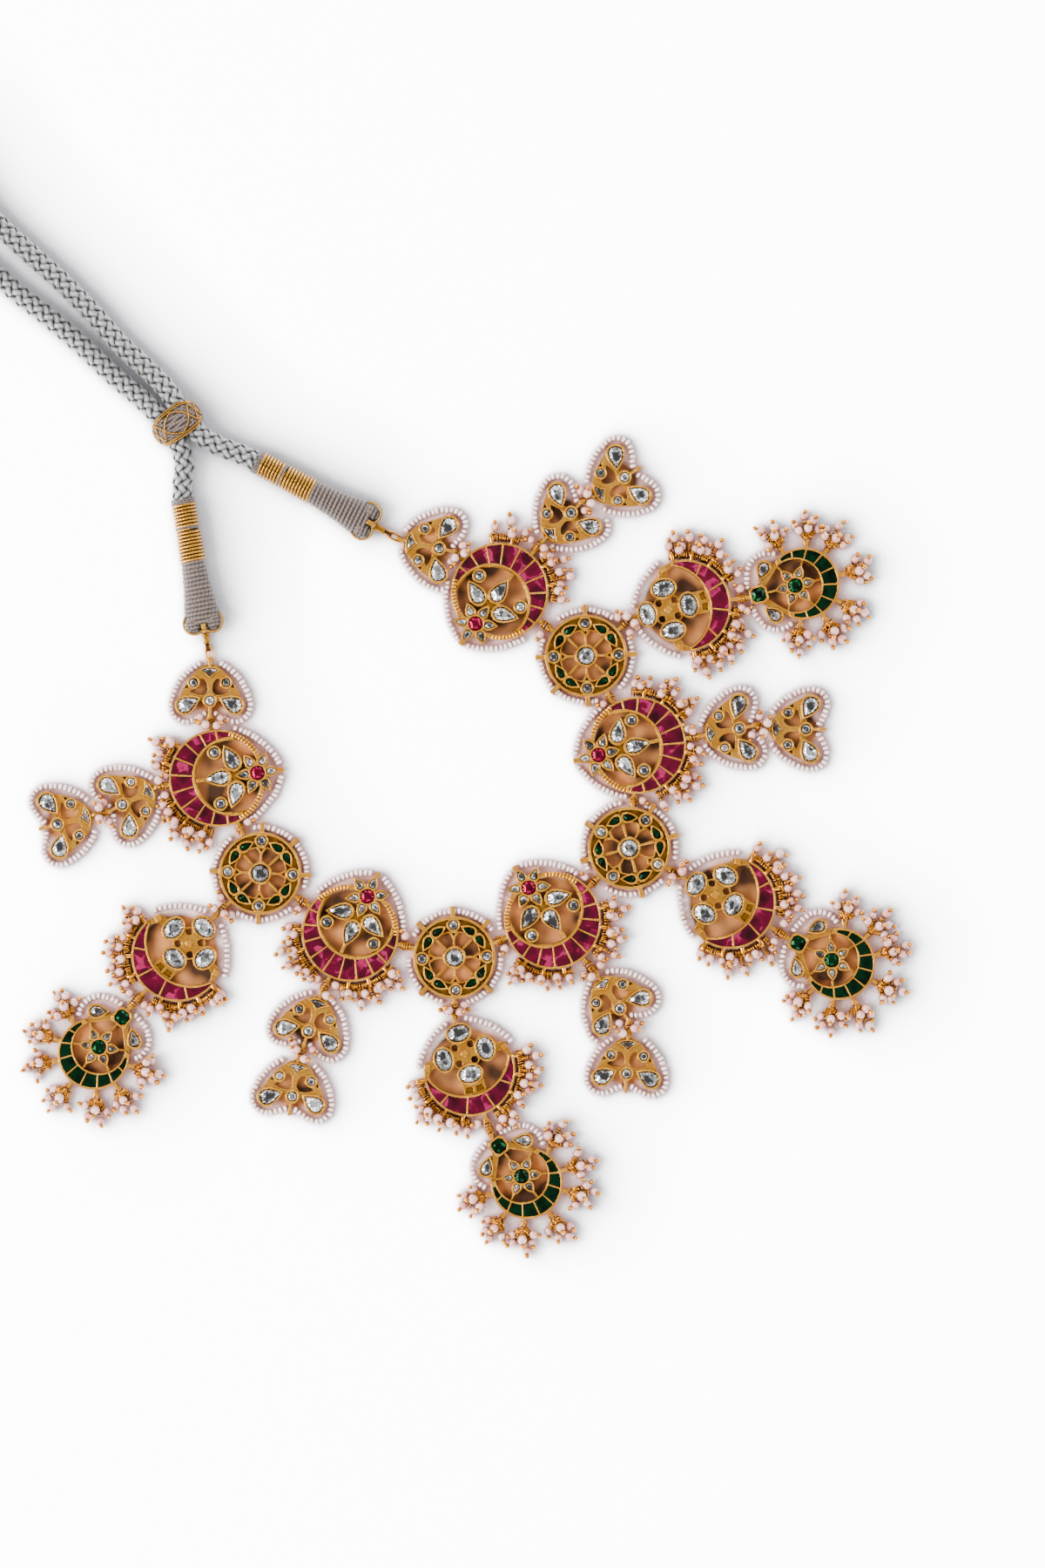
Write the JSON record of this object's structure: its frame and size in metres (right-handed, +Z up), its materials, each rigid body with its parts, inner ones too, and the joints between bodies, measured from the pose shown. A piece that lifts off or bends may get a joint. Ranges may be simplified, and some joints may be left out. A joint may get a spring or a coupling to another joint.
{
  "type": "kundan necklace",
  "caption": "Gold necklace lying flat, its stone-set plates linked by rings, with pearl fringes, hanging hearts and pendants, and a braided cord with a slider.",
  "frame": {"origin": "centre of the underside of the middle wheel, on the surface that the necklace lies on", "axes": "+Z up from the surface, +Y towards the cord's slider, +X to the right as seen from above"},
  "size_m": [0.3104, 0.3321, 0.0086],
  "materials": {
    "gold": "antique matte gold plating",
    "clear_glass": "clear foiled cut glass",
    "red_glass": "ruby foiled glass",
    "green_glass": "dark green foiled glass",
    "beads": "pearl white seed beads",
    "pearls": "pale rose pearls on gold wire",
    "ring_gold": "polished gold wire",
    "cord_silver": "silver grey braided thread",
    "thread_taupe": "taupe wound thread",
    "thread_gold": "gold metallic thread"
  },
  "bodies": {
    "root": {"wheel_1": "gold", "wheel_2": "gold", "wheel_3": "gold", "wheel_4": "gold", "leaf_1": "gold", "leaf_2": "gold", "leaf_3": "gold", "leaf_4": "gold", "leaf_5": "gold", "fan_1": "gold", "fan_2": "gold", "fan_3": "gold", "fan_4": "gold", "pendant_1": "gold", "pendant_2": "gold", "pendant_3": "gold", "pendant_4": "gold", "heart_right": "gold", "heart_left": "gold", "heart_1a": "gold", "heart_1b": "gold", "heart_2a": "gold", "heart_2b": "gold", "heart_3a": "gold", "heart_3b": "gold", "heart_4a": "gold", "heart_4b": "gold", "heart_5a": "gold", "heart_5b": "gold", "heart_drops": "clear_glass", "heart_rounds": "clear_glass", "heart_kites": "clear_glass", "leaf_drops": "clear_glass", "leaf_rubies": "red_glass", "leaf_red_panes": "red_glass", "wheel_stones": "clear_glass", "fan_ovals": "clear_glass", "fan_red_panes": "red_glass", "pendant_emeralds": "green_glass", "pendant_ears": "clear_glass", "pendant_green_panes": "green_glass", "jump_rings": "ring_gold", "heart_beads": "beads", "leaf_beads": "beads", "wheel_beads": "beads", "fan_beads": "beads", "pendant_beads": "beads", "leaf_fringes": "pearls", "fan_fringes": "pearls", "pendant_fringes": "pearls", "cord": "cord_silver", "cord_slider": "thread_taupe", "cord_wrap_left": "thread_taupe", "cord_wrap_right": "thread_taupe", "gold_bands": "thread_gold", "thread_ties": "thread_gold"}
  },
  "joints": []
}
